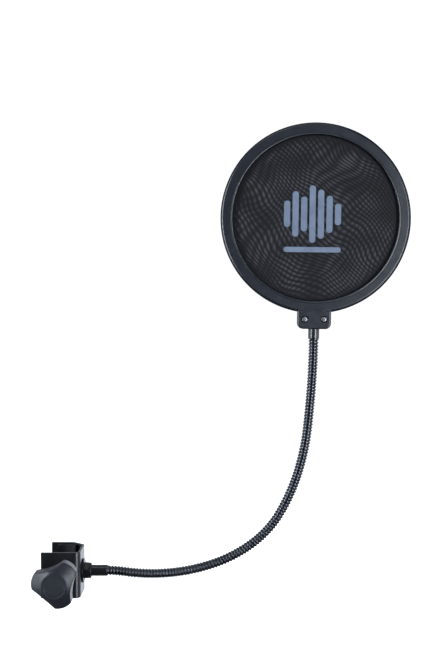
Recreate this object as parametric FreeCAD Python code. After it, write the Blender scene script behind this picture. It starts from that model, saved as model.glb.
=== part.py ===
import FreeCAD, Part
import math
import os

os.makedirs("parts", exist_ok=True)

V = FreeCAD.Vector
X_AXIS = V(1, 0, 0)
Y_AXIS = V(0, 1, 0)
Z_AXIS = V(0, 0, 1)
ORIGIN = V(0, 0, 0)

# All lengths are millimetres. The origin is on the clamped tube's axis, half-way up the clamp.
# +Z runs up the tube, +X points from the clamp to the gooseneck, and -Y is the front.

# Round saddles of the liner and the pad, which take a tube 18 mm in diameter
SADDLE_R = 9.1

# Bent steel clamp bracket
SHEET = 2.0
CLAMP_H = 38.3
FRONT_Y = -25.5
FRONT_EDGE_X = -16.6
SIDE_X = 16.0
SIDE_END_Y = 4.5
REAR_Y = 13.2
REAR_TIP_X = -13.6
JAW_SLOPE = math.radians(41.0)
BEND_OUT = 4.5
BEND_IN = 2.5
EDGE_FILLET = 0.35

# Clamp screw, its bush and the pad it pushes
BUSH_FRONT_Y = -28.5
BUSH_REAR_Y = -22.0
BUSH_R = 5.0
BUSH_FLANGE_R = 7.0
SCREW_R = 3.0
SCREW_END_Y = -55.5
SCREW_BORE_R = 3.05
PAD_R = 7.0
PAD_BACK_Y = -11.6
CUP_BACK_Y = -15.0
NECK_R = 2.0
NECK_BORE_R = 2.05
SCREW_HEAD_R = 3.0
CUP_BORE_R = 3.3

# Tri-lobe knob
KNOB_CAP_Y = -60.0
KNOB_DOME = 6.5
KNOB_SIDE = 9.0
LOBE_ANGLES = (50.0, 170.0, 290.0)
LOBE_R = 19.8
LOBE_HALF_W = 7.2
LOBE_CORNER_R = 19.3
WAIST_R = 13.4
CAP_R = 10.5
RIM_FILLET = 1.3
KNOB_HUB_R = 7.5
KNOB_HUB_Y = -38.0

# Gooseneck mounting on the side wall
NECK_Y = -8.5
NUT_AF = 13.0
STUD_R = 4.0
WASHER_R = 10.0
WASHER_T = 1.5
NUT_T = 4.05
COLLAR_R = 6.5
COLLAR_T = 1.95
FERRULE_R = 4.7
FERRULE_END_X = 37.5

# Gooseneck: a fixed stub, then equal links, each an arc that leaves the last one along its tangent
HOSE_R = 3.65
SEAT_R = 3.75
STUB_L = 15.3
LINK_L = 37.47
START_ANGLE = -1.6
STUB_TURN = -6.1
LINK_TURNS = (12.9, 13.4, 17.9, 23.9, 12.7, 10.6, 2.2, 3.4)

# Round screen head, built flat about its own centre with its front towards +Z
UPPER_FERRULE_L = 8.6
HEAD_RISE = 93.2
RING_R = 80.0
BAND_IN_R = 69.5
RING_T = 11.0
LIP_OUT_R = 71.6
FACE_DROP = 0.5
OUTER_FILLET = 2.2
MESH_SEAT = 3.5
MESH_T = 0.4
MESH_R = 76.2
SPACER_IN_R = 71.5
WALL_IN_R = 76.5
TAB_HALF_W = 14.2
TAB_CORNER_R = 5.0
TAB_EDGE_R = 1.6
TAB_SCREW_X = 8.0
TAB_SCREW_Y = 8.3
COUNTERBORE_R = 3.05
COUNTERBORE_D = 1.9
TAB_HOLE_R = 1.6
TAB_SHANK_R = 1.45


def save(shape, node):
    """Write one node's solid."""
    shape.exportStep("parts/" + node + ".step")


def cylinder(radius, low, high, axis="z", at=ORIGIN):
    """A cylinder along a row axis from low to high, through the point at."""
    directions = {"x": X_AXIS, "y": Y_AXIS, "z": Z_AXIS}
    direction = directions[axis]
    return Part.makeCylinder(radius, high - low, at + direction * low, direction)


def prism(points, low, high):
    """A solid with a flat outline in X and Y, from Z low to Z high."""
    corners = [V(x, y, low) for x, y in points]
    wire = Part.makePolygon(corners + corners[:1])
    return Part.Face(wire).extrude(V(0, 0, high - low))


def turned(points):
    """A solid of revolution about Z from points of radius and height."""
    corners = [V(r, 0, z) for r, z in points]
    wire = Part.makePolygon(corners + corners[:1])
    return Part.Face(wire).revolve(ORIGIN, Z_AXIS, 360)


def hexagon(across_flats, low, high, turn=0.0):
    """A hexagonal prism about Z."""
    radius = across_flats / math.sqrt(3)
    angles = [math.radians(60 * k + turn) for k in range(6)]
    return prism([(radius * math.cos(a), radius * math.sin(a)) for a in angles], low, high)


def rounded_nut(across_flats, low, high, bore_r, turn=0.0):
    """A hexagonal nut about Z with turned-down corners and a plain bore."""
    corner_r = across_flats / math.sqrt(3)
    flat_r = across_flats / 2
    drop = (corner_r - flat_r) * math.tan(math.radians(30))
    barrel = turned([
        (0, low),
        (flat_r, low),
        (corner_r + 0.05, low + drop + 0.03),
        (corner_r + 0.05, high - drop - 0.03),
        (flat_r, high),
        (0, high),
    ])
    nut = hexagon(across_flats, low, high, turn).common(barrel)
    return nut.cut(cylinder(bore_r, low - 1, high + 1))


def edges_at(shape, x, y):
    """The upright edges of a shape that stand over one point of its outline."""
    found = []
    for edge in shape.Edges:
        a = edge.Vertexes[0].Point
        b = edge.Vertexes[-1].Point
        upright = abs(a.x - b.x) < 1e-6 and abs(a.y - b.y) < 1e-6
        if upright and abs(a.x - x) < 1e-3 and abs(a.y - y) < 1e-3:
            found.append(edge)
    return found


def along_x(shape):
    """Turn a shape built about Z so that its +Z points along +X, on the gooseneck's starting axis."""
    shape.Placement = FreeCAD.Placement(V(0, NECK_Y, 0), FreeCAD.Rotation(Z_AXIS, X_AXIS))
    return shape


# Clamp bracket: one strip of sheet bent into a hook round the tube

half_h = CLAMP_H / 2
rear_bend_x = SIDE_X - (REAR_Y - SIDE_END_Y) / math.tan(JAW_SLOPE)
inner_reach = math.sin(JAW_SLOPE) * SIDE_X + math.cos(JAW_SLOPE) * SIDE_END_Y - SHEET
inner_side_x = SIDE_X - SHEET
inner_rear_y = REAR_Y - SHEET
inner_front_y = FRONT_Y + SHEET
slope_low_y = (inner_reach - math.sin(JAW_SLOPE) * inner_side_x) / math.cos(JAW_SLOPE)
slope_high_x = (inner_reach - math.cos(JAW_SLOPE) * inner_rear_y) / math.sin(JAW_SLOPE)

outer_corners = [(SIDE_X, FRONT_Y), (SIDE_X, SIDE_END_Y), (rear_bend_x, REAR_Y)]
inner_corners = [(slope_high_x, inner_rear_y), (inner_side_x, slope_low_y), (inner_side_x, inner_front_y)]
outline = [(FRONT_EDGE_X, FRONT_Y)] + outer_corners
outline += [(REAR_TIP_X, REAR_Y), (REAR_TIP_X, inner_rear_y)]
outline += inner_corners + [(FRONT_EDGE_X, inner_front_y)]

bracket = prism(outline, -half_h, half_h)
for corner in outer_corners:
    bracket = bracket.makeFillet(BEND_OUT, edges_at(bracket, *corner))
for corner in inner_corners:
    bracket = bracket.makeFillet(BEND_IN, edges_at(bracket, *corner))
blank = bracket.copy()
sheet_edges = [e for e in bracket.Edges if abs(abs(e.Vertexes[0].Point.z) - half_h) < 1e-6]
sheet_edges = [e for e in sheet_edges if abs(e.Vertexes[0].Point.z - e.Vertexes[-1].Point.z) < 1e-6]
bracket = bracket.makeFillet(EDGE_FILLET, sheet_edges)

neck_axis = V(0, NECK_Y, 0)
bracket = bracket.cut(cylinder(BUSH_R + 0.02, FRONT_Y - 1, inner_front_y + 1, "y"))
bracket = bracket.cut(cylinder(STUD_R + 0.15, inner_side_x - 1, SIDE_X + 1, "x", neck_axis))
save(bracket, "clamp_bracket")

# Rubber liner on the rear jaw, with the round saddle that the tube sits in

LINER_HALF_W = 8.0
LINER_FRONT_Y = 4.8
LINER_HALF_H = 18.0

liner = prism([
    (-LINER_HALF_W, LINER_FRONT_Y),
    (LINER_HALF_W, LINER_FRONT_Y),
    (LINER_HALF_W, inner_rear_y - 1.5),
    (slope_high_x, inner_rear_y),
    (-LINER_HALF_W, inner_rear_y),
], -LINER_HALF_H, LINER_HALF_H)
liner = liner.cut(blank)
liner = liner.cut(cylinder(SADDLE_R, -half_h - 1, half_h + 1))
liner = max(liner.Solids, key=lambda s: s.Volume)
save(liner, "jaw_liner")

# Flanged bush riveted into the front plate for the clamp screw

bush = cylinder(BUSH_R, BUSH_FRONT_Y, BUSH_REAR_Y, "y")
bush = bush.fuse(cylinder(BUSH_FLANGE_R, BUSH_FRONT_Y, FRONT_Y, "y"))
bush = bush.cut(cylinder(SCREW_BORE_R, BUSH_FRONT_Y - 1, BUSH_REAR_Y + 1, "y"))
bush = bush.removeSplitter()
save(bush, "screw_bush")

# Pressure pad with a saddle face, in a crimped steel cup that turns on the screw's tip

pad = cylinder(PAD_R, PAD_BACK_Y, -5.0, "y")
pad = pad.cut(cylinder(SADDLE_R, -12, 12))
save(pad, "pressure_pad")

cup = cylinder(PAD_R - 0.6, CUP_BACK_Y, PAD_BACK_Y, "y")
cup = cup.cut(cylinder(CUP_BORE_R, CUP_BACK_Y + 1.2, PAD_BACK_Y, "y"))
cup = cup.cut(cylinder(NECK_BORE_R, CUP_BACK_Y - 1, PAD_BACK_Y, "y"))
save(cup, "pad_cup")

# Clamp screw: plain shank, neck and captive head

screw = cylinder(SCREW_R, SCREW_END_Y, CUP_BACK_Y - 0.3, "y")
screw = screw.fuse(cylinder(NECK_R, CUP_BACK_Y - 0.3, CUP_BACK_Y + 1.3, "y"))
screw = screw.fuse(cylinder(SCREW_HEAD_R, CUP_BACK_Y + 1.3, PAD_BACK_Y - 0.1, "y"))
screw = screw.removeSplitter()
save(screw, "clamp_screw")

# Knob, built with its front towards +Z and then turned to face -Y


def polar(radius, degrees):
    """A point of the knob's outline."""
    a = math.radians(degrees)
    return V(radius * math.cos(a), radius * math.sin(a), 0)


half_lobe = math.degrees(math.asin(LOBE_HALF_W / LOBE_CORNER_R))
outline_edges = []
for angle in LOBE_ANGLES:
    following = angle + 120.0
    tip_a = polar(LOBE_CORNER_R, angle - half_lobe)
    tip_b = polar(LOBE_CORNER_R, angle + half_lobe)
    next_a = polar(LOBE_CORNER_R, following - half_lobe)
    outline_edges.append(Part.Arc(tip_a, polar(LOBE_R, angle), tip_b).toShape())
    outline_edges.append(Part.Arc(tip_b, polar(WAIST_R, angle + 60.0), next_a).toShape())
knob_face = Part.Face(Part.Wire(outline_edges))

knob_front = -KNOB_CAP_Y
rim_front = knob_front - KNOB_DOME
knob_back = rim_front - KNOB_SIDE
knob_face.translate(V(0, 0, knob_back))
knob = knob_face.extrude(V(0, 0, knob_front - knob_back))
lobe_edges = []
for angle in LOBE_ANGLES:
    for side in (-half_lobe, half_lobe):
        corner = polar(LOBE_CORNER_R, angle + side)
        lobe_edges += edges_at(knob, corner.x, corner.y)
knob = knob.makeFillet(2.4, lobe_edges)
slope = KNOB_DOME / (LOBE_R - CAP_R)
dome_r = LOBE_R + 3
dome = turned([
    (0, knob_back - 1),
    (dome_r, knob_back - 1),
    (dome_r, knob_front - slope * (dome_r - CAP_R)),
    (CAP_R + 0.5, knob_front - slope * 0.5),
    (CAP_R + 0.2, knob_front - 0.15),
    (0, knob_front - 0.15),
])
knob = knob.common(dome)


def on_cone(point):
    """True for a point on the knob's sloping front, outside the cap."""
    radius = math.hypot(point.x, point.y)
    return radius > CAP_R + 0.7 and abs(point.z - knob_front + slope * (radius - CAP_R)) < 1e-4


def is_rim(edge):
    """True for an edge between the knob's sloping front and its side wall."""
    span = edge.LastParameter - edge.FirstParameter
    samples = [edge.valueAt(edge.FirstParameter + t * span) for t in (0.2, 0.5, 0.8)]
    seam = all(abs(v.y) < 1e-6 for v in samples)
    return all(on_cone(v) for v in samples) and not seam


rim_edges = [e for e in knob.Edges if is_rim(e)]
knob = knob.makeFillet(RIM_FILLET, rim_edges)
knob = knob.fuse(cylinder(KNOB_HUB_R, -KNOB_HUB_Y, knob_back))
CAP_DEPTH = 1.8
INSERT_AF = 8.0
INSERT_LOW = 44.5
INSERT_HIGH = -SCREW_END_Y
knob = knob.cut(cylinder(CAP_R + 0.02, knob_front - CAP_DEPTH, knob_front + 1))
knob = knob.cut(hexagon(INSERT_AF, INSERT_LOW, INSERT_HIGH))
knob = knob.cut(cylinder(SCREW_R + 0.02, -KNOB_HUB_Y - 1, INSERT_LOW))
knob = knob.removeSplitter()

insert = hexagon(INSERT_AF - 0.04, INSERT_LOW, INSERT_HIGH)
insert = insert.cut(cylinder(SCREW_R, INSERT_LOW - 1, INSERT_HIGH + 1))

cap = turned([
    (0, knob_front - CAP_DEPTH),
    (CAP_R, knob_front - CAP_DEPTH),
    (CAP_R, knob_front - 0.5),
    (CAP_R - 0.5, knob_front),
    (CAP_R - 1.8, knob_front),
    (CAP_R - 2.1, knob_front - 0.4),
    (CAP_R - 2.7, knob_front - 0.4),
    (CAP_R - 3.0, knob_front),
    (0, knob_front),
])
for shape, node in ((knob, "knob"), (insert, "knob_insert"), (cap, "knob_cap")):
    shape.rotate(ORIGIN, X_AXIS, 90)
    save(shape, node)

# Stud, nuts, washer, collar and ferrule that hold the gooseneck on the side wall

NUT_IN_X = SIDE_X + WASHER_T
COLLAR_X = NUT_IN_X + NUT_T
FERRULE_X = COLLAR_X + COLLAR_T
STUD_END_X = FERRULE_X + 4.0
BORE_START_X = STUD_END_X

stud = turned([
    (0, 9.2),
    (STUD_R - 0.6, 9.2),
    (STUD_R, 9.8),
    (STUD_R, STUD_END_X),
    (0, STUD_END_X),
])
save(along_x(stud), "mount_stud")

inner_nut = rounded_nut(NUT_AF, inner_side_x - 4.0, inner_side_x, STUD_R)
save(along_x(inner_nut), "inner_nut")

washer = cylinder(WASHER_R, SIDE_X, NUT_IN_X)
washer = washer.cut(cylinder(STUD_R, SIDE_X - 1, NUT_IN_X + 1))
washer = washer.makeFillet(0.3, [e for e in washer.Edges if e.Length > 50])
save(along_x(washer), "stud_washer")

outer_nut = rounded_nut(NUT_AF, NUT_IN_X, COLLAR_X, STUD_R, 12.0)
save(along_x(outer_nut), "outer_nut")

collar = cylinder(COLLAR_R, COLLAR_X, FERRULE_X)
collar = collar.cut(cylinder(STUD_R, COLLAR_X - 1, FERRULE_X + 1))
collar = collar.makeFillet(0.4, [e for e in collar.Edges if e.Length > 35])
save(along_x(collar), "ferrule_collar")

ferrule = turned([
    (0, FERRULE_X),
    (FERRULE_R, FERRULE_X),
    (FERRULE_R, FERRULE_END_X - 0.8),
    (FERRULE_R - 0.7, FERRULE_END_X),
    (0, FERRULE_END_X),
])
ferrule = ferrule.cut(cylinder(STUD_R, FERRULE_X - 1, STUD_END_X))
ferrule = ferrule.cut(cylinder(HOSE_R, BORE_START_X, FERRULE_END_X + 1))
for turn in (60.0, 180.0, 300.0):
    a = math.radians(turn)
    pit = V((FERRULE_R + 0.7) * math.cos(a), (FERRULE_R + 0.7) * math.sin(a), FERRULE_END_X - 4.6)
    ferrule = ferrule.cut(Part.makeSphere(1.1, pit))
save(along_x(ferrule), "lower_ferrule")

# Gooseneck pieces


class Walk:
    """A point that moves along the gooseneck's centreline in the XZ plane."""

    def __init__(self, x, z, degrees):
        self.x = x
        self.z = z
        self.angle = math.radians(degrees)

    def point(self):
        return V(self.x, NECK_Y, self.z)

    def tangent(self):
        return V(math.cos(self.angle), 0, math.sin(self.angle))

    def normal(self):
        return V(-math.sin(self.angle), 0, math.cos(self.angle))

    def tube(self, radius, length, turn_degrees):
        """A tube along the next stretch of the centreline, which is one arc."""
        start = self.point()
        disc = Part.Face(Part.Wire(Part.makeCircle(radius, start, self.tangent())))
        turn = math.radians(turn_degrees)
        bend_r = length / turn
        pivot = start + self.normal() * bend_r
        solid = disc.revolve(pivot, V(0, -1, 0), turn_degrees)
        self.angle += turn
        end = pivot - self.normal() * bend_r
        self.x = end.x
        self.z = end.z
        return solid


walk = Walk(FERRULE_END_X, 0.0, START_ANGLE)
stub = walk.tube(HOSE_R, STUB_L, STUB_TURN)
stub = stub.fuse(cylinder(HOSE_R, BORE_START_X, FERRULE_END_X - 0.5, "x", neck_axis))
stub = stub.fuse(Part.makeSphere(HOSE_R, V(FERRULE_END_X - 0.5, NECK_Y, 0)))
stub = stub.cut(Part.makeSphere(SEAT_R, walk.point()))
stub = max(stub.Solids, key=lambda s: s.Volume)

links = []
for k, turn in enumerate(LINK_TURNS):
    ball = Part.makeSphere(HOSE_R, walk.point())
    link = walk.tube(HOSE_R, LINK_L, turn).fuse(ball)
    if k < len(LINK_TURNS) - 1:
        link = link.cut(Part.makeSphere(SEAT_R, walk.point()))
        link = max(link.Solids, key=lambda s: s.Volume)
    links.append(link)

# The last link runs on, straight, into the upper ferrule
tail = Part.makeCylinder(HOSE_R, 4.0, walk.point(), walk.tangent())
links[-1] = links[-1].fuse(tail)

save(stub.removeSplitter(), "neck_stub")
for k, link in enumerate(links):
    save(link.removeSplitter(), "neck_link_%d" % (k + 1))

# Head: everything is built about the ring's centre with +Z to the front, then leant and lifted

head_lean = 90.0 - math.degrees(walk.angle)
neck_top = walk.point()
ring_centre = neck_top + walk.tangent() * (UPPER_FERRULE_L + HEAD_RISE)


def place_head(shape):
    """Stand a head piece up to face -Y and put it on the end of the gooseneck."""
    shape.rotate(ORIGIN, X_AXIS, 90)
    shape.rotate(ORIGIN, Y_AXIS, head_lean)
    shape.translate(ring_centre)
    return shape


half_t = RING_T / 2
tab_low = -HEAD_RISE
tongue_half_w = 4.5
tongue_half_t = 1.5
tongue_top = tab_low + 12.0
screw_y = tab_low + TAB_SCREW_Y


def hoop_half():
    """The front half of the hoop and its tab, from the parting plane at Z 0 to the front face."""
    hoop = turned([
        (BAND_IN_R, half_t - 0.7),
        (BAND_IN_R + 0.6, half_t),
        (LIP_OUT_R - 0.5, half_t),
        (LIP_OUT_R, half_t - FACE_DROP),
        (RING_R, half_t - FACE_DROP),
        (RING_R, 0.25),
        (RING_R - 0.25, 0),
        (WALL_IN_R, 0),
        (WALL_IN_R, half_t - MESH_SEAT),
        (BAND_IN_R, half_t - MESH_SEAT),
    ])
    rim = [e for e in hoop.Edges if abs(e.Length - 2 * math.pi * RING_R) < 0.5]
    rim = [e for e in rim if e.Vertexes[0].Point.z > half_t - FACE_DROP - 0.1]
    hoop = hoop.makeFillet(OUTER_FILLET, rim)
    tab = prism([
        (-TAB_HALF_W, tab_low),
        (TAB_HALF_W, tab_low),
        (TAB_HALF_W, -WALL_IN_R - 0.6),
        (-TAB_HALF_W, -WALL_IN_R - 0.6),
    ], 0, half_t - FACE_DROP)
    corners = edges_at(tab, -TAB_HALF_W, tab_low) + edges_at(tab, TAB_HALF_W, tab_low)
    tab = tab.makeFillet(TAB_CORNER_R, corners)
    front_z = half_t - FACE_DROP
    front_edges = []
    for e in tab.Edges:
        at_front = all(abs(v.Point.z - front_z) < 1e-6 for v in e.Vertexes)
        top_edge = all(abs(v.Point.y + WALL_IN_R + 0.6) < 1e-6 for v in e.Vertexes)
        if at_front and not top_edge:
            front_edges.append(e)
    tab = tab.makeFillet(TAB_EDGE_R, front_edges)
    half = hoop.fuse(tab)
    half = half.cut(cylinder(WALL_IN_R, -0.5, half_t - MESH_SEAT))
    for x in (-TAB_SCREW_X, TAB_SCREW_X):
        half = half.cut(cylinder(TAB_HOLE_R, -1, RING_T, at=V(x, screw_y, 0)))
    pocket = Part.makeBox(2 * tongue_half_w, 12.0, tongue_half_t + 1, V(-tongue_half_w, tab_low, -1))
    return half.cut(pocket)


front_hoop = hoop_half()
rear_hoop = hoop_half()
rear_hoop.rotate(ORIGIN, Y_AXIS, 180)
SCREW_NUT_AF = 5.5
SCREW_NUT_T = 2.2
for x in (-TAB_SCREW_X, TAB_SCREW_X):
    seat = cylinder(COUNTERBORE_R, half_t - FACE_DROP - COUNTERBORE_D, RING_T, at=V(x, screw_y, 0))
    front_hoop = front_hoop.cut(seat)
    nut_seat = hexagon(SCREW_NUT_AF, -RING_T, -half_t + FACE_DROP + SCREW_NUT_T)
    nut_seat.translate(V(x, screw_y, 0))
    rear_hoop = rear_hoop.cut(nut_seat)
save(place_head(front_hoop.removeSplitter()), "front_hoop")
save(place_head(rear_hoop.removeSplitter()), "rear_hoop")

# Two stretched mesh layers and the spacer ring that holds them apart
mesh_front = half_t - MESH_SEAT
front_mesh = cylinder(MESH_R, mesh_front - MESH_T, mesh_front)
rear_mesh = cylinder(MESH_R, -mesh_front, -mesh_front + MESH_T)
spacer = cylinder(MESH_R, -mesh_front + MESH_T, mesh_front - MESH_T)
spacer = spacer.cut(cylinder(SPACER_IN_R, -RING_T, RING_T))
save(place_head(front_mesh), "front_mesh")
save(place_head(rear_mesh), "rear_mesh")
save(place_head(spacer), "spacer_ring")

# Tab screws with cross recesses, and their nuts
head_seat = half_t - FACE_DROP - COUNTERBORE_D
for side, node in ((-1, "left"), (1, "right")):
    screw_head = turned([
        (0, head_seat),
        (2.6, head_seat),
        (2.6, head_seat + 0.9),
        (1.9, head_seat + 1.5),
        (0, head_seat + 1.7),
    ])
    arm_l = 2.6
    arm_w = 0.6
    for turn in (25.0, 115.0):
        slot = Part.makeBox(arm_l, arm_w, 2.0, V(-arm_l / 2, -arm_w / 2, head_seat + 0.6))
        slot.rotate(ORIGIN, Z_AXIS, turn)
        screw_head = screw_head.cut(slot)
    shank = cylinder(TAB_SHANK_R, -half_t + FACE_DROP, head_seat)
    tab_screw = screw_head.fuse(shank).removeSplitter()
    tab_nut = rounded_nut(
        SCREW_NUT_AF - 0.02, -half_t + FACE_DROP, -half_t + FACE_DROP + SCREW_NUT_T, TAB_SHANK_R)
    for shape, name in ((tab_screw, "tab_screw_"), (tab_nut, "tab_nut_")):
        shape.translate(V(side * TAB_SCREW_X, screw_y, 0))
        save(place_head(shape), name + node)

# Upper ferrule, and the flat tongue that it carries up between the two tab halves
ferrule_low = tab_low - UPPER_FERRULE_L
upper = turned([
    (0, ferrule_low),
    (FERRULE_R - 0.7, ferrule_low),
    (FERRULE_R, ferrule_low + 0.8),
    (FERRULE_R, tab_low),
    (0, tab_low),
])
upper = upper.cut(cylinder(HOSE_R, ferrule_low - 1, tab_low + 1))
upper.rotate(ORIGIN, X_AXIS, -90)
save(place_head(upper), "upper_ferrule")

stem_low = ferrule_low + 4.0
tongue = Part.makeBox(
    2 * tongue_half_w, 12.0, 2 * tongue_half_t, V(-tongue_half_w, tab_low, -tongue_half_t))
stem = Part.makeCylinder(HOSE_R, tab_low - stem_low, V(0, stem_low, 0), Y_AXIS)
save(place_head(tongue.fuse(stem).removeSplitter()), "stem_tongue")
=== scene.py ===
import math

import bpy
from mathutils import Matrix, Vector


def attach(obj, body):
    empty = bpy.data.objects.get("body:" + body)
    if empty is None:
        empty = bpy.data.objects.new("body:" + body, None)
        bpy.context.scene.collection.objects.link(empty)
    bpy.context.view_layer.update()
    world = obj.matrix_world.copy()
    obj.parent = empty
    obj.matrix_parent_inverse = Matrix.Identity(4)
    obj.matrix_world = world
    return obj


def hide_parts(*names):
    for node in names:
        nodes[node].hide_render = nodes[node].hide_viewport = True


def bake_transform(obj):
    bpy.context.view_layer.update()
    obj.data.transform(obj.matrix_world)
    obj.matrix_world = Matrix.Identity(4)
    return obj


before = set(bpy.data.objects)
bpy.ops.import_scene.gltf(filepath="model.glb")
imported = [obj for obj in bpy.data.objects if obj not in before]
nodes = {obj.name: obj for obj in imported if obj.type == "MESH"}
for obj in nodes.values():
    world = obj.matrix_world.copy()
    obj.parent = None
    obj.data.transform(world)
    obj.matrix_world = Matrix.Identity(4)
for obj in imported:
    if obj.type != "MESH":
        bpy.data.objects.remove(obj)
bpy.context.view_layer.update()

MM = 0.001

# The gooseneck's centreline, as the design lays it out: a stub and eight links, each one arc
NECK_Y = -8.5
NECK_START_X = 37.5
START_ANGLE = -1.6
STUB_L = 15.3
LINK_L = 37.47
RUNS = [(STUB_L, -6.1)] + [(LINK_L, turn) for turn in (12.9, 13.4, 17.9, 23.9, 12.7, 10.6, 2.2, 3.4)]
LINKS = len(RUNS) - 1
NECK_LENGTH = sum(run[0] for run in RUNS)

# The wound hose round it, how far it runs into the ferrule at each end, and where the design starts to bend
# it, a place that is worked out here but not used
HOSE_R = 4.2
HOSE_AROUND = 36
RIB_PITCH = 2.65
RIB_DEPTH = 0.85
RIB_CREST = 0.58
RIB_SQUARE = 3.2
RIB_STEPS = 12
IN_LOWER_FERRULE = 9.0
IN_UPPER_FERRULE = 3.9
BEND_START = 0.5

# The clamp's screw, along Y
SCREW_BACK = -55.4
SCREW_TIP = -15.3
SCREW_R = 2.98
SCREW_AROUND = 40
THREAD_PITCH = 1.0
THREAD_DEPTH = 0.52
THREAD_CREST = 0.96
THREAD_SQUARE = 2.0
THREAD_STEPS = 10

# The plain tip beyond the thread, as (place along Y, radius)
TIP_RINGS = [(SCREW_TIP, 2.0), (-13.7, 2.0), (-13.7, 2.7), (-13.4, SCREW_R), (-12.0, SCREW_R), (-11.72, 2.7)]

# The screen head: TAB_DROP is from the centre of the hoops down to the tab
HEAD_RISE = 93.2
UPPER_FERRULE_L = 8.6
OPENING_R = 69.5
TAB_DROP = 77.6
TAB_BLEND = 0.7
BEAD_MM = 0.5

# Ring-shaped zones of the hoops, as (distance from their axis, value)
# Painted light: ZONE_PAINTED_LIGHT raises the hoops' colour for painted highlights on the inner lip and the
# outer edge, and lowers it for painted shade on the inner wall and the rolled outer edge
ZONE_PAINTED_LIGHT = [(69.6, 0.3), (70.2, 1.3), (71.2, 1.0), (77.8, 1.0),
             (78.3, 1.2), (78.9, 0.3), (80.3, 0.3), (80.9, 1.0)]
ZONE_SHINE = [(69.6, 0.15), (70.2, 0.7), (71.4, 0.5), (78.5, 0.5), (79.0, 0.12), (80.3, 0.12), (80.9, 0.5)]
ZONE_HEIGHT = [(69.5, 0.0), (70.6, 1.0), (71.6, 0.55), (77.4, 0.55), (78.9, 0.0), (80.9, 0.0)]

# The two layers of cloth, with painted shade of the hoops that darkens them from SHADE_START_R out to the
# hoops' opening
CLOTH_R = 76.0
CLOTH_RINGS = 40
CLOTH_AROUND = 144
LAYER_Z = 1.8
LAYER_T = 0.3
SLACK = 0.10
SLACK_WAVES = 3
SLACK_PHASE = 0.6
SHADE_START_R = 63.0
WEAVE_SCALE = 0.62

# Fringes on the cloth: turns per millimetre across and up, and turns from the slow and the quick unevenness
SLOW_SCALE = 0.016
QUICK_SCALE = 0.05
FALLING_TURNS = (0.20, 0.22, 13.0, 2.0)
RISING_TURNS = (0.17, -0.12, 12.0, 1.6)

# The printed mark: bars as (place across, height), and a rule as (place across, place up, width, height)
PRINT_Z = 2.16
PRINT_X = -2.6
BAR_Y = 3.4
BAR_W = 5.2
BARS = [(-21.4, 22.0), (-14.3, 38.0), (-7.1, 29.0), (0.0, 48.0), (7.1, 41.0), (14.3, 31.0), (21.4, 18.0)]
RULE = (PRINT_X, -26.4, 48.0, 4.4)
CORNER_SHARE = 0.9
CORNER_STEPS = 6

# Most values of a noise texture lie between these
SPREAD = (0.3, 0.7)

# Scratches: their stretch, turn and fineness, and the part of the noise that makes them
SCRATCH_STRETCH = (1.0, 14.0, 14.0)
SCRATCH_TURN = (0.2, 0.5, 0.7)
SCRATCH_SCALE = 160.0
SCRATCH_CUT = (0.66, 0.7)

# The studio: ROOM_LEVEL is its brightness in front of the object. Behind the object it rises to BACK_LEVEL,
# where a direction points at least BACK_FULL of the way back.
ROOM_LEVEL = 0.07
BACK_LEVEL = 0.7
BACK_FULL = 0.75
ROOM_COLOUR = (0.86, 0.92, 1)
LAMP_COLOUR = (0.84, 0.91, 1.0)
PAPER = (0.98, 0.98, 0.98)
PAPER_DIM = 0.99
FLOOR_Z = -260.0
BACKDROP_R = 7000.0
BACKDROP_AROUND = 64
MIDDLE = (0.1, 0, 0.15)
LOW_MIDDLE = (0.1, 0, 0.1)
CAMERA_DIP = 1.486


# Mesh helpers

def make_object(name, verts, faces, smooth=True):
    """A mesh object from points in millimetres."""
    mesh = bpy.data.meshes.new(name)
    mesh.from_pydata([(x * MM, y * MM, z * MM) for x, y, z in verts], [], faces)
    mesh.validate()
    mesh.update()
    for polygon in mesh.polygons:
        polygon.use_smooth = smooth
    obj = bpy.data.objects.new(name, mesh)
    bpy.context.scene.collection.objects.link(obj)
    return obj


def circle(radius, height, around):
    """Points on a level circle."""
    turns = [2 * math.pi * j / around for j in range(around)]
    return [(radius * math.cos(a), radius * math.sin(a), height) for a in turns]


def ring_faces(rings, around, first=0):
    """Faces between rings of points that follow one another from point number first."""
    faces = []
    for i in range(rings - 1):
        a = first + i * around
        b = a + around
        for j in range(around):
            k = (j + 1) % around
            faces.append((a + j, b + j, b + k, a + k))
    return faces


def neck_point(s):
    """Centreline point and tangent angle, s millimetres from the lower ferrule's mouth."""
    x, z, angle = NECK_START_X, 0.0, math.radians(START_ANGLE)
    if s <= 0:
        return x + s, z, 0.0
    for length, turn in RUNS:
        part = min(s, length)
        bend = math.radians(turn) * part / length
        radius = length / math.radians(turn)
        x += radius * (math.sin(angle + bend) - math.sin(angle))
        z -= radius * (math.cos(angle + bend) - math.cos(angle))
        angle += bend
        s -= part
        if s <= 0:
            return x, z, angle
    return x + s * math.cos(angle), z + s * math.sin(angle), angle


END_X, END_Z, END_ANGLE = neck_point(NECK_LENGTH)
HEAD_LEAN = math.pi / 2 - END_ANGLE
UP = Vector((math.cos(END_ANGLE), 0, math.sin(END_ANGLE)))
RING_CENTRE = Vector((END_X, NECK_Y, END_Z)) + UP * (UPPER_FERRULE_L + HEAD_RISE)
HEAD_MATRIX = (
    Matrix.Translation(RING_CENTRE * MM)
    @ Matrix.Rotation(HEAD_LEAN, 4, "Y")
    @ Matrix.Rotation(math.pi / 2, 4, "X")
)


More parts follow.
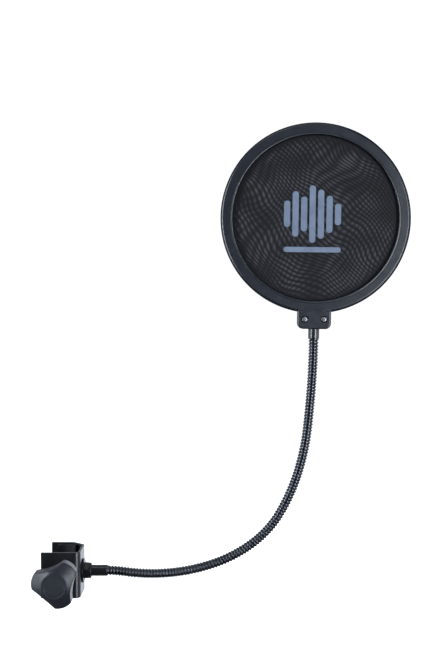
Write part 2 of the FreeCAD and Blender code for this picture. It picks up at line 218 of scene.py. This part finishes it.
def helix_tube(name, path, start, stop, radius, pitch, depth, crest, square, around, per_turn):
    """A tube with a helical rib along path(s) -> (centre, side, up).

    crest is the rib's share of a pitch; square is 2 for a round rib and more for a flat-topped one.
    """
    count = max(2, int(round((stop - start) / pitch * per_turn)))
    verts, grooves = [], []
    for i in range(count + 1):
        s = start + (stop - start) * i / count
        centre, side, up = path(s)
        for j in range(around):
            a = 2 * math.pi * j / around
            u = (s / pitch + j / around) % 1.0
            high = max(0.0, 1 - abs((u - 0.5) / (0.5 * crest)) ** square) ** (1 / square)
            r = radius - depth * (1 - high)
            verts.append(centre + side * (r * math.cos(a)) + up * (r * math.sin(a)))
            grooves.append(1 - high)
    faces = []
    for i in range(count):
        for j in range(around):
            k = (j + 1) % around
            a, b = i * around, (i + 1) * around
            faces.append((a + j, a + k, b + k, b + j))
    faces.append(tuple(range(around))[::-1])
    faces.append(tuple(count * around + j for j in range(around)))
    obj = make_object(name, verts, faces)
    layer = obj.data.attributes.new("groove", "FLOAT", "POINT")
    layer.data.foreach_set("value", grooves)
    return obj


def neck_frame(s):
    """Centre, side and up of the neck, s millimetres from the lower ferrule's mouth."""
    x, z, angle = neck_point(s)
    centre = Vector((x, NECK_Y, z))
    return centre, Vector((0, 1, 0)), Vector((-math.sin(angle), 0, math.cos(angle)))


def neck_place(s):
    """A point of the centreline in metres."""
    x, z, _ = neck_point(s)
    return (x * MM, NECK_Y * MM, z * MM)


# Material helpers

def new_material(name, base, roughness, metallic=0.0, specular=0.5, coat=0.0, sheen=0.0):
    """A principled material with its plain values set on the shader itself."""
    mat = bpy.data.materials.new(name)
    mat.use_nodes = True
    tree = mat.node_tree
    shader = tree.nodes["Principled BSDF"]
    shader.inputs["Base Color"].default_value = (*base, 1)
    shader.inputs["Roughness"].default_value = roughness
    shader.inputs["Metallic"].default_value = metallic
    shader.inputs["Specular IOR Level"].default_value = specular
    shader.inputs["Coat Weight"].default_value = coat
    shader.inputs["Coat Roughness"].default_value = 0.25
    shader.inputs["Sheen Weight"].default_value = sheen
    return mat, tree, shader


def node(tree, kind, **values):
    """A shader node with its inputs and properties set by name."""
    made = tree.nodes.new(kind)
    for key, value in values.items():
        name = key.replace("_", " ")
        found = [i for i in made.inputs if i.name.lower() == name.lower()]
        if found:
            found[0].default_value = value
        else:
            setattr(made, key, value)
    return made


def link(tree, a, a_socket, b, b_socket):
    tree.links.new(a.outputs[a_socket], b.inputs[b_socket])


def object_coords(tree):
    """The socket of object coordinates, which are those of the frame, in metres."""
    return tree.nodes.new("ShaderNodeTexCoord").outputs["Object"]


def noise(tree, coords, scale, detail, roughness=0.5):
    made = node(tree, "ShaderNodeTexNoise", scale=scale, detail=detail)
    made.inputs["Roughness"].default_value = roughness
    tree.links.new(coords, made.inputs["Vector"])
    return made


def ramp(tree, source, stops):
    """Colours by (position, colour) stops."""
    made = tree.nodes.new("ShaderNodeValToRGB")
    elements = made.color_ramp.elements
    while len(elements) < len(stops):
        elements.new(0.5)
    for element, (position, colour) in zip(elements, stops):
        element.position = position
        element.color = (*colour, 1)
    tree.links.new(source, made.inputs["Fac"])
    return made


def map_range(tree, source, low, high, out_low, out_high):
    """The socket of a value taken from one range to another."""
    made = tree.nodes.new("ShaderNodeMapRange")
    for key, value in (("From Min", low), ("From Max", high), ("To Min", out_low), ("To Max", out_high)):
        made.inputs[key].default_value = value
    tree.links.new(source, made.inputs["Value"])
    return made.outputs["Result"]


def product(tree, a, b):
    """The socket of two values' product."""
    made = node(tree, "ShaderNodeMath", operation="MULTIPLY")
    tree.links.new(a, made.inputs[0])
    tree.links.new(b, made.inputs[1])
    return made.outputs[0]


def relief(tree, shader, height, strength, depth_mm):
    """Fine relief on a shader: a height of 1 stands depth_mm millimetres high."""
    bump = node(tree, "ShaderNodeBump", strength=strength, distance=depth_mm * MM)
    tree.links.new(height, bump.inputs["Height"])
    link(tree, bump, "Normal", shader, "Normal")
    return bump


def from_centre(tree, used):
    """Millimetres from the hoops' centre; used is 1 for each axis that counts and 0 for the others."""
    local = node(tree, "ShaderNodeMapping", vector_type="POINT")
    local.inputs["Location"].default_value = [-place * on for place, on in zip(RING_CENTRE, used)]
    local.inputs["Scale"].default_value = [on / MM for on in used]
    tree.links.new(object_coords(tree), local.inputs["Vector"])
    return local.outputs["Vector"]


def surface(name, dark, light, rough, metallic=0.0, specular=0.5, coat=0.0,
            grain=2500.0, grain_mm=0.02, patch=60.0, edge_mm=0.0, streak=None, scratches=0.0):
    """A finish with patchy colour, uneven gloss, a fine grain in relief and, if asked, softened edges."""
    mat, tree, shader = new_material(name, dark, rough[0], metallic, specular, coat)
    coords = object_coords(tree)
    if streak:
        stretch = node(tree, "ShaderNodeMapping")
        stretch.inputs["Scale"].default_value = streak
        tree.links.new(coords, stretch.inputs["Vector"])
        coords = stretch.outputs["Vector"]
    cloudy = noise(tree, coords, patch, 4.0, 0.6)
    tone = ramp(tree, cloudy.outputs["Fac"], list(zip(SPREAD, (dark, light))))
    link(tree, tone, "Color", shader, "Base Color")
    uneven = noise(tree, coords, patch * 4.3, 5.0, 0.65)
    gloss = map_range(tree, uneven.outputs["Fac"], *SPREAD, *rough)
    tree.links.new(gloss, shader.inputs["Roughness"])
    fine = noise(tree, coords, grain, 2.0, 0.6)
    height = fine.outputs["Fac"]
    if scratches:
        lines = node(tree, "ShaderNodeMapping")
        lines.inputs["Scale"].default_value = SCRATCH_STRETCH
        lines.inputs["Rotation"].default_value = SCRATCH_TURN
        tree.links.new(coords, lines.inputs["Vector"])
        hair = noise(tree, lines.outputs["Vector"], SCRATCH_SCALE, 2.0)
        cut = map_range(tree, hair.outputs["Fac"], *SCRATCH_CUT, 0.0, scratches)
        joined = node(tree, "ShaderNodeMath", operation="SUBTRACT")
        tree.links.new(height, joined.inputs[0])
        tree.links.new(cut, joined.inputs[1])
        height = joined.outputs[0]
    bump = relief(tree, shader, height, 0.6, grain_mm)
    if edge_mm:
        bevel = node(tree, "ShaderNodeBevel", samples=4, radius=edge_mm * MM)
        link(tree, bevel, "Normal", bump, "Normal")
    return mat


POWDER = surface("powder_coat", (0.003, 0.003, 0.004), (0.006, 0.006, 0.008), (0.29, 0.36),
                 grain=2600.0, grain_mm=0.005, edge_mm=0.25)
HARDWARE = surface("black_oxide", (0.003, 0.003, 0.004), (0.007, 0.007, 0.008), (0.26, 0.38),
                   specular=0.35, grain=1800.0, grain_mm=0.01, edge_mm=0.2, scratches=0.4)
LACQUER = surface("black_lacquer", (0.005, 0.005, 0.006), (0.008, 0.008, 0.010), (0.20, 0.30), coat=0.2,
                  grain=900.0, grain_mm=0.008, edge_mm=0.15, streak=(0.3, 1.0, 1.0))
ZINC = surface("zinc_plate", (0.50, 0.51, 0.52), (0.66, 0.67, 0.68), (0.25, 0.42), metallic=1.0,
               grain=1500.0, grain_mm=0.01, edge_mm=0.15, scratches=0.5)
NICKEL = surface("nickel_screw", (0.34, 0.34, 0.34), (0.48, 0.47, 0.45), (0.26, 0.38), metallic=1.0,
                 grain=1500.0, grain_mm=0.008, edge_mm=0.12, scratches=0.4)
BRASS = surface("brass_insert", (0.60, 0.42, 0.17), (0.72, 0.53, 0.24), (0.3, 0.45), metallic=1.0,
                grain=1500.0, grain_mm=0.01)
RUBBER = surface("black_rubber", (0.004, 0.004, 0.005), (0.007, 0.007, 0.008), (0.75, 0.9), specular=0.3,
                 grain=1600.0, grain_mm=0.04, edge_mm=0.3)
KNOB_PLASTIC = surface("knob_plastic", (0.007, 0.008, 0.011), (0.011, 0.012, 0.017), (0.33, 0.43),
                       grain=2200.0, grain_mm=0.03, edge_mm=0.15)
CAP_PLASTIC = surface("cap_plastic", (0.006, 0.007, 0.010), (0.009, 0.011, 0.015), (0.40, 0.50),
                      grain=2200.0, grain_mm=0.03, edge_mm=0.2)
HOOP_PLASTIC = surface("hoop_plastic", (0.006, 0.0075, 0.011), (0.010, 0.012, 0.017), (0.28, 0.38),
                       grain=2600.0, grain_mm=0.015, patch=35.0, edge_mm=0.2)


def ring_radius(tree):
    """Distance from the hoops' axis, in millimetres."""
    radius = node(tree, "ShaderNodeVectorMath", operation="LENGTH")
    tree.links.new(from_centre(tree, (1, 0, 1)), radius.inputs[0])
    return radius.outputs["Value"]


def tab_part(tree):
    """1 on the tab below the hoops, 0 elsewhere."""
    rise = node(tree, "ShaderNodeVectorMath", operation="DOT_PRODUCT")
    rise.inputs[1].default_value = UP
    tree.links.new(object_coords(tree), rise.inputs[0])
    start = RING_CENTRE.dot(UP) - TAB_DROP
    return map_range(tree, rise.outputs["Value"], (start - TAB_BLEND) * MM, start * MM, 1.0, 0.0)


def zones(tree, radius, tab, on_tab, stops):
    """A value by distance from the hoops' axis, from (millimetres, value) stops, and on_tab on the tab."""
    low, high = stops[0][0], stops[-1][0]
    place = map_range(tree, radius, low, high, 0.0, 1.0)
    made = ramp(tree, place, [((r - low) / (high - low), (v, v, v)) for r, v in stops])
    made.color_ramp.interpolation = "EASE"
    mixed = node(tree, "ShaderNodeMix", data_type="FLOAT")
    tree.links.new(tab, mixed.inputs[0])
    tree.links.new(made.outputs["Color"], mixed.inputs[2])
    mixed.inputs[3].default_value = on_tab
    return mixed.outputs[0]


def turned_zones(mat):
    """Zones on the moulded hoops: a beaded inner lip, a turned face and a rolled outer edge of low shine,
    with painted highlights on the lip and the outer edge and painted shade on the inner wall and the rolled
    edge.
    """
    tree = mat.node_tree
    shader = tree.nodes["Principled BSDF"]
    radius = ring_radius(tree)
    tab = tab_part(tree)
    # Painted light: painted highlights on the lip and outer edge, painted shade on the inner wall and rolled
    # edge
    painted_light_gain = zones(tree, radius, tab, 1.0, ZONE_PAINTED_LIGHT)
    lines = node(tree, "ShaderNodeTexNoise", noise_dimensions="1D", detail=2.0)
    lines.inputs["Scale"].default_value = 1.6
    tree.links.new(radius, lines.inputs["W"])
    fine = map_range(tree, lines.outputs["Fac"], *SPREAD, 0.8, 1.2)
    scaled = node(tree, "ShaderNodeVectorMath", operation="SCALE")
    tree.links.new(painted_light_gain, scaled.inputs["Vector"])
    tree.links.new(fine, scaled.inputs["Scale"])
    toned = node(tree, "ShaderNodeVectorMath", operation="MULTIPLY")
    tree.links.new(shader.inputs["Base Color"].links[0].from_socket, toned.inputs[0])
    tree.links.new(scaled.outputs["Vector"], toned.inputs[1])
    tree.links.new(toned.outputs["Vector"], shader.inputs["Base Color"])
    shine = zones(tree, radius, tab, 0.5, ZONE_SHINE)
    tree.links.new(shine, shader.inputs["Specular IOR Level"])
    profile = zones(tree, radius, tab, 0.55, ZONE_HEIGHT)
    bead = node(tree, "ShaderNodeBump", strength=1.0, distance=BEAD_MM * MM)
    tree.links.new(profile, bead.inputs["Height"])
    grain = shader.inputs["Normal"].links[0].from_node
    tree.links.new(grain.inputs["Normal"].links[0].from_socket, bead.inputs["Normal"])
    link(tree, bead, "Normal", grain, "Normal")


turned_zones(HOOP_PLASTIC)

FINISHES = {
    POWDER: ["clamp_bracket"],
    HARDWARE: ["screw_bush", "mount_stud", "inner_nut", "stud_washer", "outer_nut", "ferrule_collar"],
    LACQUER: ["lower_ferrule", "upper_ferrule"],
    ZINC: ["pad_cup", "stem_tongue"],
    NICKEL: ["tab_screw_left", "tab_screw_right", "tab_nut_left", "tab_nut_right"],
    BRASS: ["knob_insert"],
    RUBBER: ["jaw_liner", "pressure_pad"],
    KNOB_PLASTIC: ["knob"],
    CAP_PLASTIC: ["knob_cap"],
    HOOP_PLASTIC: ["front_hoop", "rear_hoop", "spacer_ring"],
}
for material, names in FINISHES.items():
    for name in names:
        nodes[name].data.materials.clear()
        nodes[name].data.materials.append(material)


# Gooseneck

def neck_material():
    """Black wound metal, bright on the ribs, with painted shade darkening the grooves."""
    mat, tree, shader = new_material("wound_neck", (0.09, 0.09, 0.10), 0.25, metallic=1.0)
    coords = object_coords(tree)
    groove = node(tree, "ShaderNodeAttribute", attribute_name="groove")
    # Painted shade: the colour darkens from the ribs into the grooves of the wound hose
    tone = ramp(tree, groove.outputs["Fac"], [(0.2, (0.088, 0.093, 0.106)), (0.7, (0.028, 0.030, 0.034))])
    link(tree, tone, "Color", shader, "Base Color")
    cloudy = noise(tree, coords, 220.0, 4.0, 0.6)
    gloss = map_range(tree, cloudy.outputs["Fac"], *SPREAD, 0.22, 0.30)
    tree.links.new(gloss, shader.inputs["Roughness"])
    fine = noise(tree, coords, 1600.0, 2.0)
    relief(tree, shader, fine.outputs["Fac"], 0.5, 0.01)
    return mat


NECK = neck_material()
cuts = [-IN_LOWER_FERRULE]
cuts += [STUB_L + LINK_L * (k + 0.5) for k in range(LINKS)]
cuts += [NECK_LENGTH + IN_UPPER_FERRULE]
neck_nodes = ["neck_stub"] + ["neck_link_%d" % (k + 1) for k in range(LINKS)]
for k in range(LINKS + 1):
    hose = helix_tube("neck_coil_%d" % k, neck_frame, cuts[k], cuts[k + 1], HOSE_R,
                      RIB_PITCH, RIB_DEPTH, RIB_CREST, RIB_SQUARE, HOSE_AROUND, RIB_STEPS)
    hose.data.materials.append(NECK)
    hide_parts(neck_nodes[k])
    if k < LINKS:
        begin = neck_place(max(cuts[k], BEND_START))
        neck_place(cuts[k + 1])
        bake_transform(hose)
    else:
        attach(hose, "head")


# Clamp screw with its thread

def screw_frame(s):
    """Centre, side and up of the screw at a place along it."""
    return Vector((0, s, 0)), Vector((1, 0, 0)), Vector((0, 0, 1))


thread = helix_tube("screw_thread", screw_frame, SCREW_BACK, SCREW_TIP, SCREW_R,
                    THREAD_PITCH, THREAD_DEPTH, THREAD_CREST, THREAD_SQUARE, SCREW_AROUND, THREAD_STEPS)
thread.data.materials.append(ZINC)
tip_verts = []
for place, radius in TIP_RINGS:
    tip_verts += [(x, y, z) for x, z, y in circle(radius, place, SCREW_AROUND)]
tip_faces = ring_faces(len(TIP_RINGS), SCREW_AROUND)
tip_faces.append(tuple(range(SCREW_AROUND)))
tip_faces.append(tuple(range(len(tip_verts) - SCREW_AROUND, len(tip_verts)))[::-1])
tip = make_object("screw_tip", tip_verts, tip_faces, smooth=False)
tip.data.materials.append(ZINC)
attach(thread, "screw")
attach(tip, "screw")
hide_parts("clamp_screw")


# Mesh screen: two stretched layers

def cloth_material(name, strength):
    """Fine woven nylon. The slow beat between the threads of the two layers shows as fringes, and painted
    shade of the hoops darkens the cloth towards their opening.
    """
    mat, tree, shader = new_material(name, (0.02, 0.02, 0.025), 0.7, specular=0.2, sheen=0.04)
    shader.inputs["Sheen Roughness"].default_value = 0.5
    place = from_centre(tree, (1, 1, 1))
    flat = tree.nodes.new("ShaderNodeSeparateXYZ")
    tree.links.new(place, flat.inputs["Vector"])
    slow = noise(tree, place, SLOW_SCALE, 0.0, 0.4)
    quick = noise(tree, place, QUICK_SCALE, 0.0)
    split_slow = tree.nodes.new("ShaderNodeSeparateColor")
    split_quick = tree.nodes.new("ShaderNodeSeparateColor")
    tree.links.new(slow.outputs["Color"], split_slow.inputs["Color"])
    tree.links.new(quick.outputs["Color"], split_quick.inputs["Color"])

    def add_scaled(total, value, turns):
        """The running phase plus that many turns for each unit of a value."""
        made = node(tree, "ShaderNodeMath", operation="MULTIPLY_ADD")
        made.inputs[1].default_value = turns * 2 * math.pi
        tree.links.new(value, made.inputs[0])
        if total is None:
            made.inputs[2].default_value = 0.0
        else:
            tree.links.new(total, made.inputs[2])
        return made.outputs[0]

    def beat(channel, turns):
        """One family of fringes: a straight trend bent by the uneven stretch of the cloth."""
        uneven = (split_slow.outputs[channel], split_quick.outputs[channel])
        phase = None
        for value, count in zip((flat.outputs["X"], flat.outputs["Z"], *uneven), turns):
            phase = add_scaled(phase, value, count)
        wave = node(tree, "ShaderNodeMath", operation="COSINE")
        tree.links.new(phase, wave.inputs[0])
        return wave.outputs[0]

    falling = map_range(tree, beat("Red", FALLING_TURNS), -1.0, 1.0, 0.10, 1.0)
    rising = map_range(tree, beat("Green", RISING_TURNS), -1.0, 1.0, 0.45, 1.0)
    patchy = map_range(tree, split_quick.outputs["Blue"], *SPREAD, 0.45, 1.0)
    fringe = product(tree, product(tree, falling, rising), patchy)
    # Painted shade: the hoops' shadow on the cloth, darkening it towards their opening
    painted_hoop_shade = map_range(tree, ring_radius(tree), SHADE_START_R, OPENING_R, 1.0, 0.15)
    shown = product(tree, fringe, painted_hoop_shade)
    bright = (0.004 + 0.034 * strength, 0.004 + 0.034 * strength, 0.006 + 0.036 * strength)
    tone = ramp(tree, shown, [(0.02, (0.002, 0.002, 0.003)), (0.30, (0.008, 0.008, 0.010)), (0.90, bright)])
    link(tree, tone, "Color", shader, "Base Color")

    threads = []
    for axis in ("X", "Z"):
        wave = node(tree, "ShaderNodeTexWave", wave_type="BANDS", bands_direction=axis)
        wave.inputs["Scale"].default_value = WEAVE_SCALE
        wave.inputs["Distortion"].default_value = 0.0
        tree.links.new(place, wave.inputs["Vector"])
        threads.append(wave.outputs["Fac"])
    weave = product(tree, *threads)
    relief(tree, shader, weave, 0.5, 0.1)
    rough = map_range(tree, weave, 0.0, 1.0, 0.85, 0.6)
    tree.links.new(rough, shader.inputs["Roughness"])
    return mat


def cloth(name, height, replaced, strength):
    """One stretched layer: a disc in rings, a little slack inside the hoops' opening."""
    verts = [(0, 0, height)]
    for i in range(1, CLOTH_RINGS + 1):
        r = CLOTH_R * i / CLOTH_RINGS
        inside = math.sin(math.pi * min(1, r / OPENING_R)) ** 2
        for j, (x, y, z) in enumerate(circle(r, height, CLOTH_AROUND)):
            a = 2 * math.pi * j / CLOTH_AROUND
            verts.append((x, y, z + SLACK * math.sin(SLACK_WAVES * a + SLACK_PHASE) * inside))
    faces = [(0, 1 + j, 1 + (j + 1) % CLOTH_AROUND) for j in range(CLOTH_AROUND)]
    faces += ring_faces(CLOTH_RINGS, CLOTH_AROUND, 1)
    obj = make_object(name, verts, faces)
    obj.data.transform(HEAD_MATRIX)
    solid = obj.modifiers.new("thickness", "SOLIDIFY")
    solid.thickness = LAYER_T * MM
    solid.offset = 0
    obj.data.materials.append(cloth_material(name + "_nylon", strength))
    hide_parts(replaced)
    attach(obj, "head")


cloth("mesh_layer_front", LAYER_Z, "front_mesh", 1.0)
cloth("mesh_layer_rear", -LAYER_Z, "rear_mesh", 0.8)


# Generic printed mark: plain sound bars over a plain rule

def rounded_bar(cx, cy, width, height):
    """The outline of a bar with round corners, as points."""
    r = min(width, height) / 2 * CORNER_SHARE
    points = []
    for qx, qy, begin in ((1, 1, 0), (-1, 1, 90), (-1, -1, 180), (1, -1, 270)):
        for k in range(CORNER_STEPS + 1):
            a = math.radians(begin + 90 * k / CORNER_STEPS)
            x = cx + qx * (width / 2 - r) + r * math.cos(a)
            y = cy + qy * (height / 2 - r) + r * math.sin(a)
            points.append((x, y, PRINT_Z))
    return points


def ink_material():
    """Thin, slightly patchy ink."""
    mat, tree, shader = new_material("screen_ink", (0.13, 0.17, 0.25), 0.6, specular=0.3)
    coords = object_coords(tree)
    patch = noise(tree, coords, 90.0, 5.0, 0.65)
    tone = ramp(tree, patch.outputs["Fac"], [(0.35, (0.092, 0.118, 0.165)), (0.65, (0.125, 0.154, 0.210))])
    link(tree, tone, "Color", shader, "Base Color")
    fine = noise(tree, coords, 2200.0, 2.0)
    relief(tree, shader, fine.outputs["Fac"], 0.5, 0.05)
    return mat


print_verts, print_faces = [], []
outlines = [rounded_bar(x + PRINT_X, BAR_Y, BAR_W, h) for x, h in BARS]
outlines.append(rounded_bar(*RULE))
for outline in outlines:
    print_faces.append(tuple(range(len(print_verts), len(print_verts) + len(outline))))
    print_verts += outline
mark = make_object("printed_mark", print_verts, print_faces, smooth=False)
mark.data.transform(HEAD_MATRIX)
mark.data.materials.append(ink_material())
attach(mark, "head")


# Stage, light and camera

def paper_material(name):
    """Pale paper that is lit so evenly that it shows no edge."""
    mat, tree, shader = new_material(name, PAPER, 0.9, specular=0.1)
    soft = noise(tree, object_coords(tree), 0.8, 2.0)
    low = tuple(PAPER_DIM * c for c in PAPER)
    tone = ramp(tree, soft.outputs["Fac"], list(zip(SPREAD, (low, PAPER))))
    link(tree, tone, "Color", shader, "Base Color")
    link(tree, tone, "Color", shader, "Emission Color")
    shader.inputs["Emission Strength"].default_value = 1.0
    return mat


def paper(obj):
    """Part of the set that is seen, but throws no light or shadow on the object."""
    obj.data.materials.append(paper_material(obj.name + "_paper"))
    obj.visible_diffuse = False
    obj.visible_glossy = False
    obj.visible_transmission = False
    obj.visible_shadow = False


rim = circle(BACKDROP_R, FLOOR_Z, BACKDROP_AROUND)
top = circle(BACKDROP_R, BACKDROP_R, BACKDROP_AROUND)
floor = make_object("floor", rim, [tuple(range(BACKDROP_AROUND))], smooth=False)
backdrop = make_object("backdrop", rim + top, ring_faces(2, BACKDROP_AROUND))
paper(floor)
paper(backdrop)

world = bpy.data.worlds.new("studio")
bpy.context.scene.world = world
world.use_nodes = True
sky = world.node_tree
background = sky.nodes["Background"]
direction = sky.nodes.new("ShaderNodeTexCoord").outputs["Generated"]
parts = sky.nodes.new("ShaderNodeSeparateXYZ")
sky.links.new(direction, parts.inputs["Vector"])
room = map_range(sky, parts.outputs["Y"], 0.0, BACK_FULL, ROOM_LEVEL, BACK_LEVEL)
sky.links.new(room, background.inputs["Strength"])
background.inputs["Color"].default_value = (*ROOM_COLOUR, 1)


def area_light(name, place, target, size, power):
    """A soft box, out of the camera's sight; places and sizes in metres, power in watts."""
    data = bpy.data.lights.new(name, "AREA")
    data.shape = "RECTANGLE"
    data.size, data.size_y = size
    data.energy = power
    data.color = LAMP_COLOUR
    obj = bpy.data.objects.new(name, data)
    bpy.context.scene.collection.objects.link(obj)
    obj.location = place
    obj.rotation_euler = (Vector(target) - Vector(place)).to_track_quat("-Z", "Y").to_euler()
    obj.visible_camera = False


area_light("strip_left", (-1.00, -0.80, 0.30), MIDDLE, (0.35, 1.4), 26)
area_light("strip_right", (0.93, -1.05, 0.10), MIDDLE, (0.45, 1.05), 24)
area_light("box_left", (-1.40, 0.05, 0.25), MIDDLE, (1.0, 1.5), 9)
area_light("box_right", (1.65, 0.15, 0.25), MIDDLE, (1.0, 1.5), 9)
area_light("box_top", (0.0, -0.35, 1.45), LOW_MIDDLE, (1.2, 0.6), 3.5)
area_light("box_back", (0.38, 1.45, 0.10), LOW_MIDDLE, (0.5, 1.6), 4.0)

camera = bpy.data.objects.new("camera", bpy.data.cameras.new("camera"))
bpy.context.scene.collection.objects.link(camera)
camera.data.lens = 53.65
camera.data.sensor_width = 36.0
camera.location = (0.13389, -0.8455, 0.2239)
camera.rotation_euler = (math.radians(90 - CAMERA_DIP), 0, 0)
camera.data.clip_start = 0.05
bpy.context.scene.camera = camera
bpy.context.scene.view_settings.view_transform = "Standard"
